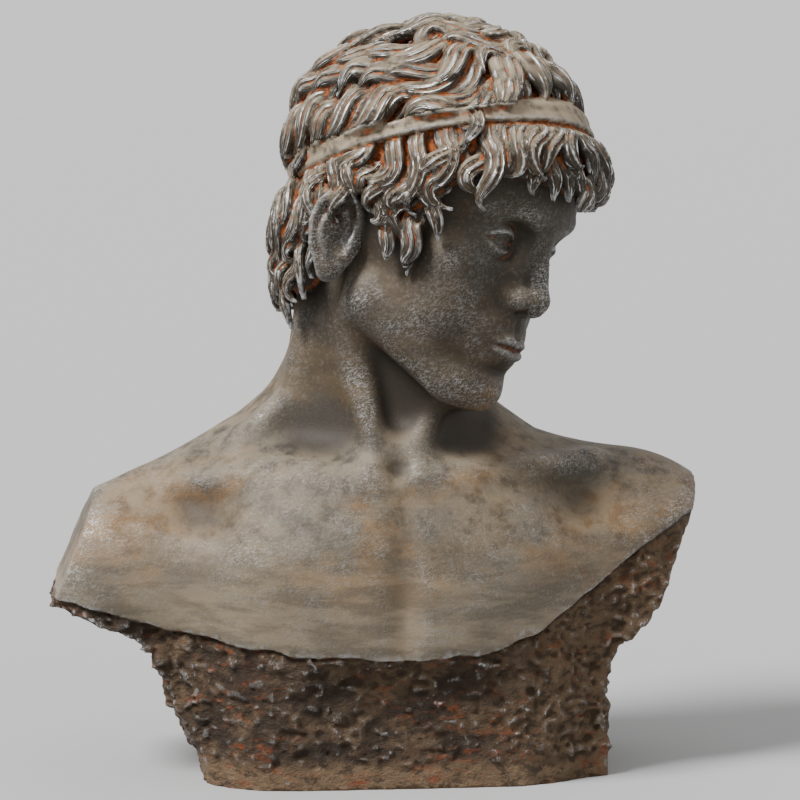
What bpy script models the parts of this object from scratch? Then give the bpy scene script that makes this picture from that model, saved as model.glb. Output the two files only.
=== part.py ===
"""A bust of a youth with a hair band, cast in one piece with the rough block under it.

The figure is laid out in units that are 1 mm at the real size, and the layout scales with HEIGHT.
It is described as one signed distance field: a function that gives, for any point, how far it is
outside the surface, and less than zero inside. Forms are joined and carved in that field, as clay
is added and cut away, and the surface is then drawn round it and thinned to a light mesh.

World axes: +X to the viewer's right, -Y towards the viewer, +Z up, origin under the block.
Head axes: a to the figure's own right, b forwards out of the face, c up, from between the ears.
"""

import math

import bmesh
import bpy
import numpy as np
import openvdb

HEIGHT = 0.495  # metres, underside to crown
UNITS = 495.0  # the same height in figure units
UNDERSIDE = -7.0  # the level in the layout where the block is cut off flat
TRIANGLES = 9300  # of the finished solid
GRID_STEP = 2.5  # figure units between samples of the field
HALF_WIDTH = 240.0  # of the space that is sampled
HALF_DEPTH = 145.0

# Colour and finish of the casting
BODY_COLOUR = (0.115, 0.098, 0.080, 1.0)
BODY_ROUGHNESS = 0.55
BODY_METALLIC = 0.35

# The head's pose and size
HEAD_PLACE = (10.0, -10.0, 347.0)
HEAD_YAW = 50.0
HEAD_NOD = 17.0
HEAD_TILT = 14.0
HEAD_SCALE = 0.95

# The eyes, in the head's axes
EYE_PLACE = (31.0, 67.5, 14.5)
EYE_RADIUS = 15.0

# Centre and radii of the spaces round the eyes, nose and mouth, where the thinning keeps more edges
FEATURES = (((31, 80, 14), (20, 14, 15)), ((0, 98, -16), (18, 20, 14)), ((0, 92, -52), (30, 20, 16)))
FEATURE_WEIGHT = 0.4  # how freely edges go there, 1 elsewhere
FEATURE_FACTOR = 2e-3  # how much the weight counts

# The rough block
BLOCK_HALF_DEPTH = 80.0
BLOCK_SQUARENESS = 5.0
ROUGHNESS = 1.6

# The hair
HAIR_CENTRE = (0.0, -3.0, 46.0)
HAIR_RADII = (87.0, 110.5, 93.0)
HAIR_MEAN_RADIUS = 97.0
QUARTER = HAIR_MEAN_RADIUS * math.pi / 2  # from the crown down to the widest level
BAND_HALF_WIDTH = 6.5
BAND_LEVEL = 53.0
BAND_SLOPE = 58.0
BAND_CHANNEL_DROP = 2.5  # how far the channel under the band lies below it, as a dark line
LOCK_DROP = 46.0
LOCK_HALF_WIDTH = 7.6
LOCK_WAVE = 37.0  # degrees that a lock swings from its course
LOCK_LEAN = 0.35
UPPER_LAYERS = ((11.5, 22, 0.85, 1.5), (19, 30, 1.25, 5.5))  # spacing, pitch of rows, width, lift
# How many locks a row has, how far below the band it starts and how long they are
LOWER_ROWS = ((43, 2, 1.35), (41, 26, 1.0), (37, 48, 0.9), (37, 70, 0.9), (33, 92, 0.9))
FAR_TEMPLE_TRIM = 34.0  # how much shorter the hair is over the far temple
# Angle, depth under the band, drop, phase and lift of the curls round the near ear
TEMPLE_CURLS = (
    (66, 62, 50, 0.3, 4),
    (72, 40, 40, 0.8, 4),
    (79, 34, 46, 0.25, 5),
    (85, 20, 44, 0.7, 7),
    (93, 12, 40, 0.2, 10),
    (99, 14, 48, 0.6, 11),
    (105, 16, 54, 0.1, 11),
    (108, 44, 50, 0.5, 10),
    (113, 58, 48, 0.3, 8),
    (118, 66, 46, 0.8, 7),
    (124, 78, 44, 0.2, 6),
)


def vec(*values):
    return np.array(values, np.float32)


def smooth_curve(x, knots, values):
    """A smooth curve through the knots, level outside them."""
    knots, values = np.array(knots, float), np.array(values, float)
    slopes = np.gradient(values, knots)
    slopes[0] = slopes[-1] = 0.0
    x = np.clip(x, knots[0], knots[-1])
    i = np.clip(np.searchsorted(knots, x) - 1, 0, len(knots) - 2)
    gap = knots[i + 1] - knots[i]
    t = (x - knots[i]) / gap
    low = values[i] + t * gap * slopes[i]
    high = values[i + 1] - (1 - t) * gap * slopes[i + 1]
    ease = t * t * (3 - 2 * t)
    return (low + (high - low) * ease).astype(np.float32)


def ellipsoid(p, centre, radii):
    q = (p - vec(*centre)) / vec(*radii)
    size = np.linalg.norm(q, axis=1)
    steep = np.linalg.norm(q / vec(*radii), axis=1)
    return size * (size - 1.0) / np.maximum(steep, 1e-6)


def tapered(p, start, end, start_radius, end_radius):
    start, end = vec(*start), vec(*end)
    axis = end - start
    t = np.clip((p - start) @ axis / (axis @ axis), 0.0, 1.0)
    gap = np.linalg.norm(p - start - t[:, None] * axis, axis=1)
    return gap - (start_radius + (end_radius - start_radius) * t)


def chain(p, *stations):
    """A run of tapered rods through stations of (x, y, z, radius)."""
    runs = [tapered(p, s[:3], e[:3], s[3], e[3]) for s, e in zip(stations, stations[1:])]
    return np.minimum.reduce(runs)


def swell(p, centre, radii):
    """A soft mound's share of its height: 1 at the centre, fading out at about twice the radii."""
    return np.exp(-(((p - vec(*centre)) / vec(*radii)) ** 2).sum(1))


def join(first, second, soft):
    h = np.maximum(soft - np.abs(first - second), 0.0) / soft
    return np.minimum(first, second) - h * h * soft * 0.25


def carve(body, tool, soft):
    return -join(-body, tool, soft)


def trim(body, plane, soft):
    return -join(-body, -plane, soft)


def noise(p, size, seed):
    """Smooth noise from -1 to 1 whose lumps are about size across."""
    lattice = np.random.default_rng(seed).uniform(-1, 1, (32, 32, 32)).astype(np.float32)
    q = p / size + 100.0
    cell = np.floor(q).astype(int)
    t = (q - cell).astype(np.float32)
    t = t * t * (3 - 2 * t)
    total = np.zeros(len(p), np.float32)
    for corner in np.argwhere(np.ones((2, 2, 2), bool)):
        weight = np.abs(1 - corner - t).prod(1)
        at = (cell + corner) % 32
        total += weight * lattice[at[:, 0], at[:, 1], at[:, 2]]
    return total


# Torso, neck and block


def torso(p):
    form = ellipsoid(p, (-12, 6, 113), (154, 100, 120))
    for x, z in ((-184, 123), (156, 138)):
        form = join(form, ellipsoid(p, (x, 12, z), (62, 58, 58)), 42)
    for slope in (
        ((-16, 34, 243, 46), (-84, 28, 194, 38), (-150, 22, 159, 34)),
        ((4, 34, 220, 46), (70, 28, 174, 38), (136, 24, 157, 36)),
    ):
        form = join(form, chain(p, *slope), 30)
    for x in (-86, 66):
        form = join(form, ellipsoid(p, (x, 64, 145), (62, 38, 66)), 26)
        form -= 9 * swell(p, (x, -90, 132), (50, 60, 36))
    form = join(form, neck(p), 18)
    for side in (
        ((-26, -60, 190, 6), (-60, -52, 192, 5), (-100, -36, 191, 5), (-150, -8, 183, 5)),
        ((2, -60, 190, 6), (36, -53, 193, 5), (76, -37, 195, 5), (124, -8, 194, 5)),
    ):
        form = join(form, chain(p, *side), 18)
    form += 5 * swell(p, (-10, -100, 118), (11, 60, 62))
    form += 6 * swell(p, (-8, 104, 165), (12, 60, 80))
    for x, z in ((-134, 166), (114, 173), (-62, 213), (44, 214)):
        form += 5 * swell(p, (x, -60, z), (26, 60, 15))
    return carve(form, ellipsoid(p, (-11, -73, 203), (9, 10, 9)), 9)


def neck(p):
    form = chain(p, (-14, 26, 183, 68), (-17, 22, 245, 60), (-14, 14, 291, 56), (2, 4, 331, 54))
    form = join(form, chain(p, (-38, -26, 312, 12), (-34, -36, 262, 9), (-22, -55, 199, 6)), 18)
    form = join(form, chain(p, (34, -26, 296, 12), (22, -37, 250, 9), (-2, -55, 199, 6)), 18)
    form = join(form, chain(p, (-58, -2, 292, 9), (-72, -8, 241, 8), (-108, -8, 207, 7)), 18)
    return join(form, ellipsoid(p, (4, -34, 253), (12, 12, 18)), 18)


def edge_height(x, y):
    """The height of the broken edge of the chest."""
    knots = (-240, -226, -155, -110, -60, 0, 30, 70, 100, 127, 155, 185, 220)
    rises = (112, 110, 92, 86, 81, 80, 81, 90, 107, 125, 145, 161, 180)
    return smooth_curve(x, knots, rises) + 0.04 * (y + 80)


def block(p, edge, outline):
    """The rough block, narrower than the chest and flaring into its broken edge."""
    x, y, z = p.T
    levels = (-7, 9, 23, 50, 70, 80, 87, 92, 97, 103, 109)
    left = smooth_curve(z, levels, (134, 138, 144, 156, 164, 172, 181, 192, 209, 222, 230))
    levels = (-7, 25, 51, 60, 70, 80, 90, 103, 125, 145, 165, 190)
    right = smooth_curve(z, levels, (131, 130, 129, 130, 134, 142, 153, 167, 178, 184, 190, 200))
    reach = np.where(x < 0, left, right)
    depth = BLOCK_HALF_DEPTH + 14 * np.exp(-np.maximum(edge - z, 0) / 9)
    n = BLOCK_SQUARENESS
    size = (np.abs(x / reach) ** n + np.abs((y - 4) / depth) ** n) ** (1 / n)
    column = (size - 1) * np.minimum(reach, depth)
    return np.maximum(np.maximum(column, outline + 3), z - edge - 4)


def arm_cuts(p):
    """The slanting planes that end the upper arms. Below the right-hand stump its plane is upright."""
    x, _, z = p.T
    left = ((-x - 228) + (z - 115) * 0.412) / math.hypot(1, 0.412)
    right = ((x - 196) - (np.maximum(z, 82) - 189) * 0.37) / math.hypot(1, 0.37)
    return np.maximum(left, right)


def body(p):
    edge = edge_height(p[:, 0], p[:, 1]) + 2.5 * noise(p * vec(1, 1, 0.2), 13, 3)
    form = np.full(len(p), 99.0, np.float32)
    above = p[:, 2] > edge - 30
    form[above] = np.maximum(torso(p[above]), (edge - p[:, 2])[above])
    low = p[:, 2] < edge + 8
    lifted = np.column_stack([p[low, 0], p[low, 1], np.maximum(p[low, 2], edge[low])])
    rough = block(p[low], edge[low], torso(lifted))
    bite = ROUGHNESS * smooth_curve(p[low, 2], (4, 16), (0.35, 1))
    rough -= bite * noise(p[low], 13, 5)
    form[low] = np.minimum(form[low], rough)
    cut = arm_cuts(p)
    near = np.abs(cut) < 4
    cut[near] += 0.6 * noise(p[near], 8, 9)
    return np.maximum(form, cut)


# Head


def turn(axis, degrees):
    c, s = math.cos(math.radians(degrees)), math.sin(math.radians(degrees))
    i, j = {"x": (1, 2), "y": (2, 0), "z": (0, 1)}[axis]
    matrix = np.eye(3)
    matrix[i, i] = matrix[j, j] = c
    matrix[i, j], matrix[j, i] = -s, s
    return matrix


def head_axes():
    """Columns are the head's axes a, b and c in the world."""
    level = np.array([[-1.0, 0, 0], [0, -1.0, 0], [0, 0, 1.0]]).T
    return turn("z", HEAD_YAW) @ level @ turn("x", -HEAD_NOD) @ turn("y", -HEAD_TILT)


def into_head(p):
    return ((p - vec(*HEAD_PLACE)) @ head_axes().astype(np.float32)) / HEAD_SCALE


def face_mass(q):
    """The face in level sections, from under the chin to the forehead."""
    a, b, c = q.T
    levels = (-100, -84, -66, -50, -28, -5, 15, 38, 60, 85)
    width = smooth_curve(c, levels, (34, 43, 51, 57, 62, 66, 66, 65, 66, 64))
    front = smooth_curve(c, levels, (84, 89, 89, 91, 91, 88, 87, 91, 91, 84))
    back = smooth_curve(c, levels, (14, 14, 14, 16, 22, 30, 40, 50, 60, 60))
    half = np.where(b > 0, front, back)
    size = (np.abs(a / width) ** 2.2 + np.abs(b / half) ** 2.2) ** (1 / 2.2)
    lengthwise = b * b / (a * a + b * b + 1e-3)
    form = (size - 1) * (width + (np.minimum(width, half) - width) * lengthwise)
    under = (-97 + (85 - b) * 0.32 - c) / math.hypot(1, 0.32)
    return trim(trim(form, under, 14), c - 66, 20)


def eye(m):
    """Ball and lids, on the side where a is positive."""
    d = m - vec(*EYE_PLACE)
    gap = np.linalg.norm(d, axis=1)
    across = np.degrees(np.arctan2(d[:, 0], d[:, 1]))
    rise = np.degrees(np.arcsin(np.clip(d[:, 2] / np.maximum(gap, 1e-3), -1, 1)))
    arch = 1 - ((across - 4) / 60) ** 2
    upper = np.maximum(gap - EYE_RADIUS - 3.0, (22 * arch - rise) * 0.25)
    upper = np.maximum(upper, (rise - 22 * arch - 24) * 0.25)
    lower = np.maximum(gap - EYE_RADIUS - 2.4, (rise + 17 * arch) * 0.25)
    lower = np.maximum(lower, (-17 * arch - 30 - rise) * 0.25)
    pupil = ellipsoid(m, vec(*EYE_PLACE) + vec(-0.5, EYE_RADIUS, 1), (3, 2, 3))
    ball = carve(gap - EYE_RADIUS, pupil, 1)
    return np.minimum(ball, join(upper, lower, 0.8))


def nose(m):
    form = chain(m, (0, 86, 40, 8), (0, 87, 27, 7.5), (0, 96, 6, 7.5), (0, 103, -13, 8))
    form = join(form, ellipsoid(m, (0, 102, -14), (9.5, 10, 7.5)), 6)
    form = join(form, chain(m, (7, 82, 16, 8), (11, 88, -14, 8)), 8)
    form = join(form, ellipsoid(m, (12, 94, -18), (6, 10, 7)), 7)
    form = join(form, ellipsoid(m, (0, 97, -21), (5, 13, 6)), 5)
    form += 1.4 * swell(m, (17, 92, -12), (3, 9, 5))
    return carve(form, ellipsoid(m, (6.5, 98, -25), (3, 6.5, 4)), 2)


def mouth(m, form):
    """Lips, the groove over them and the dip under them."""
    form = join(form, ellipsoid(m, (0, 82, -50), (30, 16, 21)), 15)
    a, b, c = m.T
    share = np.clip(a / 23, 0, 1)
    taper = np.maximum(1 - share**2, 0)
    parting = -51 + 1.3 * np.sin(math.pi * share**0.7)
    upper = (c - parting) / (8.6 * taper**0.7 + 0.5 - 1.6 * np.exp(-((a / 3.2) ** 2)))
    lower = (parting - c) / (9.6 * taper**0.6 + 0.5)
    lips = 3.2 * np.clip(4 * upper * (1 - upper), 0, 1) ** 0.7
    lips += 4.0 * np.clip(4 * lower * (1 - lower), 0, 1) ** 0.7
    lips *= taper**0.7
    lips -= 2.2 * np.exp(-(((c - parting) / 2.2) ** 2)) * (1 - share**2)
    lips -= 1.3 * np.exp(-((a / 3) ** 2) - ((c + 36) / 5) ** 2)
    lips -= 3.0 * np.exp(-((a / 17) ** 2) - ((c + 67.5) / 5) ** 2)
    lips -= 1.0 * np.exp(-(((a - 27) / 5) ** 2) - ((c + 51) / 5) ** 2)
    return form - lips * (b > 60)


def ear(m):
    q = (m - vec(73, -9, -20)) * vec(1, 1.35, 1)
    lean = math.radians(10)
    b = q[:, 1] * math.cos(lean) + q[:, 2] * math.sin(lean)
    c = q[:, 2] * math.cos(lean) - q[:, 1] * math.sin(lean)
    r = np.column_stack([q[:, 0] + 0.5 * b, b, c])
    form = ellipsoid(r, (3, -4, 1), (5, 18, 30))
    form = carve(form, ellipsoid(r, (9, 1, -3), (9.5, 8.5, 12)), 2)
    form = carve(form, ellipsoid(r, (9, -3, 13), (8, 10, 9)), 2)
    rim = ((4, 9, -2, 3), (6, 12, 10, 3.2), (7, 8, 22, 3.6), (7, -2, 28, 3.8), (7, -12, 27, 3.8))
    rim += ((7, -20, 18, 3.8), (7, -22, 5, 3.6), (6, -19, -10, 3.4), (5, -12, -21, 3.2))
    form = join(form, chain(r, *rim), 2)
    fold = ((7, -6, 18, 2.6), (8, -13, 8, 3), (8, -13, -5, 3), (7, -6, -15, 3))
    form = join(form, chain(r, *fold), 2.5)
    form = join(form, ellipsoid(r, (4, -4, -25), (5, 9, 9)), 4)
    return join(form, ellipsoid(r, (4, 9, -6), (4.5, 4, 6)), 3)


def head(q):
    m = q.copy()
    m[:, 0] = np.abs(m[:, 0])
    form = ellipsoid(q, (0, -8, 45), (75, 98, 86))
    form = join(form, face_mass(q), 24)
    form = join(form, ellipsoid(m, (44, 56, -9), (18, 16, 15)), 20)
    form = join(form, ellipsoid(m, (37, 56, -38), (20, 22, 24)), 20)
    form = join(form, chain(m, (51, 14, -54, 12), (22, 73, -84, 12)), 20)
    form = join(form, ellipsoid(m, (0, 80, -83), (22, 17, 13)), 14)
    form = join(form, chain(m, (7, 90, 37, 5), (28, 88.5, 41, 5), (51, 69, 34, 4.5)), 6)
    form = carve(form, ellipsoid(m, (31, 92, 16), (22, 18, 16.5)), 3)
    form = join(form, eye(m), 1.0)
    form = join(form, nose(m), 7)
    form = mouth(m, form)
    return join(form, ear(m), 4)


# Hair


def hair_point(round_angle, fall):
    """A point on the hair. fall is 0 at the crown, 1 at the widest level, and more below it."""
    a0, b0, c0 = HAIR_CENTRE
    ra, rb, rc = HAIR_RADII
    fall = np.asarray(fall, float)
    over = np.minimum(fall, 1) * math.pi / 2
    below = np.maximum(fall - 1, 0)
    spread = np.sin(over) * (1 - 0.42 * below**1.4)
    round_angle = np.radians(round_angle)
    a = a0 + ra * spread * np.sin(round_angle)
    b = b0 + rb * spread * np.cos(round_angle)
    c = c0 + rc * np.cos(over) - below * rc * math.pi / 2
    return np.stack([a, b, c], -1)


def fall_of(c):
    lift = (np.asarray(c, float) - HAIR_CENTRE[2]) / HAIR_RADII[2]
    above = np.arccos(np.clip(lift, 0, 1)) * 2 / math.pi
    return np.where(lift > 0, above, 1 - lift * 2 / math.pi)


def angle_of(q):
    """The angle round the head, 0 over the face and 90 over the figure's right ear."""
    return np.degrees(np.arctan2(q[:, 0], q[:, 1] - HAIR_CENTRE[1]))


def band_height(round_angle):
    return BAND_LEVEL + BAND_SLOPE * np.cos(np.radians(round_angle))


def hairline(round_angle):
    angles = (0, 30, 50, 62, 72, 82, 90, 100, 110, 122, 140, 160, 180)
    heights = (60, 57, 44, 8, -18, 4, 22, 10, -16, -46, -70, -76, -78)
    return smooth_curve(np.abs(round_angle), angles, heights)


def hair_cap(q):
    """The mass of hair under the locks."""
    ra, rb, rc = HAIR_RADII
    form = ellipsoid(q, HAIR_CENTRE, (ra - 4, rb - 4, rc - 4))
    form = join(form, ellipsoid(q, (0, -54, -14), (64, 44, 62)), 20)
    return trim(form, (hairline(angle_of(q)) - q[:, 2]) * 0.7, 5)


def hair_band(q, locks):
    """A flat band with a raised rim along each edge, laid in a channel that is cut through the locks."""
    proud = ellipsoid(q, HAIR_CENTRE, HAIR_RADII)
    above = q[:, 2] - band_height(angle_of(q))
    channel = np.maximum(np.abs(above + BAND_CHANNEL_DROP) - BAND_HALF_WIDTH, 2 - proud)
    form = carve(locks, channel, 1.5)
    across = np.abs(above)
    rim = 0.9 * np.exp(-(((across - BAND_HALF_WIDTH + 2.5) / 2.2) ** 2))
    band = trim(across - BAND_HALF_WIDTH, np.abs(proud) - 3.4 - rim, 2.0)
    return np.minimum(form, band)


def lock_line(angle, fall, drop, heading, phase, hook, steps=17):
    """The middle line of a lock that falls over the hair, with outward and sideways directions."""
    t = np.linspace(0, 1, steps)
    course = heading + LOCK_WAVE * np.sin(2 * math.pi * (t + phase))
    stride = drop / np.cos(np.radians(course)).sum()
    course = np.radians(course + hook * t**4)[:-1]
    aside = np.append(0, np.cumsum(np.sin(course))) * stride
    falls = fall + np.append(0, np.cumsum(np.cos(course))) * stride / QUARTER
    spread = np.maximum(np.sin(np.minimum(falls, 1) * math.pi / 2), 0.2)
    angles = angle + np.degrees(aside / (HAIR_MEAN_RADIUS * spread))
    line = hair_point(angles, falls)
    out = unit(np.cross(hair_point(angles + 1, falls) - line, hair_point(angles, falls + 0.01) - line))
    out *= np.sign(((line - np.array(HAIR_CENTRE)) * out).sum(1))[:, None]
    return t, line, out


def unit(vectors):
    return vectors / np.linalg.norm(vectors, axis=1)[:, None]


def nearest_place(p, line):
    """How far along the line, counted in its points, each p is nearest to it."""
    best = np.full(len(p), np.inf, np.float32)
    place = np.zeros(len(p), np.float32)
    for i, (start, end) in enumerate(zip(line, line[1:])):
        step = end - start
        share = np.clip((p - start) @ step / (step @ step), 0, 1)
        gap = ((p - start - share[:, None] * step) ** 2).sum(1)
        closer = gap < best
        best[closer] = gap[closer]
        place[closer] = i + share[closer]
    return place


def add_lock(q, form, place, drop, half_width, lift, course, root=0.4, sink=4.0):
    """Lays one lock on the hair. It rises out of the hair from its root and ends in a sharp tip.

    q is sorted by its last column, so that only the points at the lock's level are looked at.
    """
    t, line, out = lock_line(*place, drop, *course)
    climb = smooth_curve(t, (0, 0.4, 0.75, 1), (0, 0.8, 1, 0.7))
    line = (line + out * (lift * climb - sink * (1 - climb) - 1)[:, None]).astype(np.float32)
    shares = (root, 0.4 + 0.6 * root, 1, 0.65, 0.18)
    half = half_width * smooth_curve(t, (0, 0.15, 0.45, 0.78, 1), shares)
    along = unit(np.gradient(line, axis=0))
    side = unit(np.cross(out, along))
    reach = half_width + 5
    low, high = line.min(0) - reach, line.max(0) + reach
    first, last = np.searchsorted(q[:, 2], (low[2], high[2]))
    level = q[first:last, :2]
    near = first + np.flatnonzero(((level > low[:2]) & (level < high[:2])).all(1))
    if len(near) == 0:
        return form
    p = q[near]
    at = nearest_place(p, line)
    before = np.minimum(at.astype(int), len(line) - 2)
    share = at - before
    frame = np.column_stack([line, out, side, along, half]).astype(np.float32)
    frame = frame[before] + (frame[before + 1] - frame[before]) * share[:, None]
    d = p - frame[:, :3]
    wide = frame[:, 12]
    thick = wide * 0.5 + 2.2
    rise = (d * frame[:, 3:6]).sum(1) / thick
    across = (d * frame[:, 6:9]).sum(1) / wide - LOCK_LEAN * np.clip(rise, 0, 1)
    beyond = (d * frame[:, 9:12]).sum(1) / wide
    size = np.sqrt(across**2 + rise**2 + beyond**2)
    lock = (size - 1) * np.minimum(wide, thick) * 0.9
    form[near] = join(form[near], lock.astype(np.float32), 0.6)
    return form


def sweep(angle):
    """How far the locks over the band lean back from straight down, in degrees."""
    size = smooth_curve(abs(angle), (0, 15, 40, 90, 140, 180), (-6, 10, 36, 30, 14, 0))
    return float(size) * np.sign(angle)


def phase_at(angle, distance):
    """Where a lock is in its wave, so that neighbours swing together."""
    return 0.013 * distance + 0.2 * math.sin(math.radians(3 * angle + 1.3 * distance))


def row_of_angles(random, distance, spacing, shift):
    """Angles round the head for one row of locks, spacing apart at that distance from the crown."""
    level = min(distance / HAIR_MEAN_RADIUS, math.pi / 2)
    count = round(2 * math.pi * HAIR_MEAN_RADIUS * math.sin(level) / spacing)
    for i in range(count):
        yield (360 * (i + shift) / count + random.uniform(-3, 3)) % 360 - 180


def upper_locks(random):
    """A close layer and then a bolder, looser one, in rows that rise from the band to the crown."""
    lowest = float(fall_of(BAND_LEVEL)) * QUARTER - 18
    for spacing, pitch, width, lift in UPPER_LAYERS:
        for row in range(8):
            for angle in row_of_angles(random, max(lowest - row * pitch, 20), spacing, 0.5 * (row % 2)):
                drop = LOCK_DROP * random.uniform(0.85, 1.25)
                lean = sweep(angle)
                carried = math.degrees(drop * math.tan(math.radians(lean)) / HAIR_MEAN_RADIUS)
                end = fall_of(band_height(angle + carried)) * QUARTER - BAND_HALF_WIDTH + 3
                end += random.uniform(-5, 3) * (row > 0) - row * pitch
                start = max(end - drop, 5)
                wobble = random.uniform(-0.08, 0.08)
                course = (lean, phase_at(angle, end) + wobble, random.uniform(-30, 30))
                half_width = LOCK_HALF_WIDTH * width * random.uniform(0.75, 1.2)
                if end - start > 14:
                    place = (angle, start / QUARTER)
                    yield place, end - start, half_width, lift * random.uniform(0.6, 1.3), course


def lower_locks(random):
    """Rows of hooked locks that hang from under the band to the hairline, the first row the longest."""
    for row, (count, depth, length) in enumerate(LOWER_ROWS):
        for i in range(count):
            angle = (360 * (i + 0.5 * (row % 2)) / count + random.uniform(-2, 2)) % 360 - 180
            top = fall_of(band_height(angle)) * QUARTER + depth
            room = fall_of(hairline(np.array([angle]))[0]) * QUARTER + 10 - top
            room -= FAR_TEMPLE_TRIM * math.exp(-(((angle + 60) / 28) ** 2))
            phase = phase_at(1.7 * angle, top) + random.uniform(-0.15, 0.15)
            hook = random.choice((-1, 1)) * random.uniform(60, 130)
            half_width = LOCK_HALF_WIDTH * random.uniform(0.7, 1.05)
            lift = random.uniform(3, 8) + 2 * (row == 0)
            if room > (18 if row else 0):
                drop = min(LOCK_DROP * length * random.uniform(0.85, 1.15), max(room, 22))
                yield (angle, top / QUARTER), drop, half_width, lift, (0, phase, hook), 1.0, 1.5
    for angle, depth, drop, phase, lift in TEMPLE_CURLS:
        top = fall_of(band_height(angle)) * QUARTER + depth
        yield (angle, top / QUARTER), drop, LOCK_HALF_WIDTH * 0.7, lift, (6, phase, -80), 1.0, 1.5


def crossing_locks():
    """The few strands that fall across the band."""
    for angle, heading in ((68, -20), (128, 8), (-60, -12), (-140, 10)):
        top = fall_of(band_height(angle)) * QUARTER - 22
        yield (angle, top / QUARTER), 40, LOCK_HALF_WIDTH * 0.6, 5.5, (heading, 0.55, 0)


def hair(q):
    order = np.argsort(q[:, 2])
    q = q[order]
    form = hair_cap(q)
    random = np.random.default_rng(11)
    for lock in (*upper_locks(random), *lower_locks(random)):
        form = add_lock(q, form, *lock)
    form = hair_band(q, form)
    for lock in crossing_locks():
        form = add_lock(q, form, *lock)
    unsorted = np.empty_like(form)
    unsorted[order] = form
    return unsorted


# Whole figure


def figure(p):
    form = body(p)
    q = into_head(p)
    near = np.flatnonzero(np.linalg.norm(q, axis=1) < 190)
    q = q[near]
    skin = join(form[near], head(q) * HEAD_SCALE, 16)
    form[near] = join(skin, hair(q) * HEAD_SCALE, 1.2)
    return form


def sampled_field(step, halvings=4):
    """The field on a grid, worked out in cells that are halved only where the surface may pass."""
    low = vec(-HALF_WIDTH, -HALF_DEPTH, UNDERSIDE - 4 * step)
    high = vec(HALF_WIDTH, HALF_DEPTH, UNDERSIDE + UNITS + 12)
    cell = step * 2**halvings
    counts = np.ceil((high - low) / cell).astype(int)
    wanted = np.argwhere(np.ones(counts, bool))
    for level in range(halvings + 1):
        values = figure(((wanted + 0.5) * cell + low).astype(np.float32))
        if level == 0:
            grid = values.reshape(counts)
        else:
            grid = grid.repeat(2, 0).repeat(2, 1).repeat(2, 2)
            grid[tuple(wanted.T)] = values
        if level < halvings:
            hair_margin = 10 * (level < 2)
            close = wanted[np.abs(values) < cell * 1.25 + hair_margin]
            corners = np.argwhere(np.ones((2, 2, 2), bool))
            wanted = (close[:, None] * 2 + corners).reshape(-1, 3)
            cell /= 2
    return low + step / 2, grid


def surface_mesh(name):
    """The field's zero surface, at its real size."""
    low, values = sampled_field(GRID_STEP)
    volume = openvdb.FloatGrid(background=50.0)
    volume.copyFromArray(np.ascontiguousarray(values, np.float32))
    points, quads = volume.convertToQuads(isovalue=0.0)
    points = (points * GRID_STEP + low - vec(0, 0, UNDERSIDE)) * (HEIGHT / UNITS)
    mesh = bpy.data.meshes.new(name)
    mesh.from_pydata(points.tolist(), [], quads.tolist())
    return mesh


def keep_main_body(mesh):
    """Deletes every loose fleck and sealed bubble beside the largest connected surface."""
    edges = np.empty(len(mesh.edges) * 2, int)
    mesh.edges.foreach_get("vertices", edges)
    first, second = edges.reshape(-1, 2).T
    label = np.arange(len(mesh.vertices))
    changed = True
    while changed:
        lowest = np.minimum(label[first], label[second])
        before = label.copy()
        np.minimum.at(label, first, lowest)
        np.minimum.at(label, second, lowest)
        label = label[label]
        changed = (label != before).any()
    main = np.bincount(label).argmax()
    form = bmesh.new()
    form.from_mesh(mesh)
    form.verts.ensure_lookup_table()
    loose = [form.verts[i] for i in np.flatnonzero(label != main)]
    bmesh.ops.delete(form, geom=loose, context="VERTS")
    form.to_mesh(mesh)
    form.free()


def keep_features(obj):
    """A group in which the eyes, nose and mouth weigh less, so that they keep more of their edges."""
    points = np.empty(len(obj.data.vertices) * 3, np.float32)
    obj.data.vertices.foreach_get("co", points)
    p = points.reshape(-1, 3) * (UNITS / HEIGHT) + vec(0, 0, UNDERSIDE)
    m = into_head(p)
    m[:, 0] = np.abs(m[:, 0])
    near = np.full(len(m), np.inf)
    for centre, radii in FEATURES:
        near = np.minimum(near, ellipsoid(m, centre, radii))
    group = obj.vertex_groups.new(name="features")
    group.add(np.flatnonzero(near > 0).tolist(), 1.0, "REPLACE")
    group.add(np.flatnonzero(near <= 0).tolist(), FEATURE_WEIGHT, "REPLACE")
    return group


def thin(obj):
    """Collapses edges until the mesh is light."""
    thinner = obj.modifiers.new("thin", "DECIMATE")
    thinner.ratio = TRIANGLES / (2 * len(obj.data.polygons))
    thinner.use_collapse_triangulate = True
    thinner.vertex_group = keep_features(obj).name
    thinner.vertex_group_factor = FEATURE_FACTOR
    scene = bpy.context.evaluated_depsgraph_get()
    light = bpy.data.meshes.new_from_object(obj.evaluated_get(scene))
    obj.modifiers.remove(thinner)
    obj.data = light


def cut_flat_below(mesh):
    """Cuts the block off level with the origin and closes it with one flat face."""
    form = bmesh.new()
    form.from_mesh(mesh)
    parts = list(form.verts) + list(form.edges) + list(form.faces)
    level = {"plane_co": (0, 0, 0), "plane_no": (0, 0, 1), "clear_inner": True, "dist": 1e-6}
    cut = bmesh.ops.bisect_plane(form, geom=parts, **level)
    rim = [item for item in cut["geom_cut"] if isinstance(item, bmesh.types.BMEdge)]
    bmesh.ops.contextual_create(form, geom=rim)
    bmesh.ops.recalc_face_normals(form, faces=form.faces)
    bmesh.ops.triangulate(form, faces=form.faces)
    form.to_mesh(mesh)
    form.free()


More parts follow.
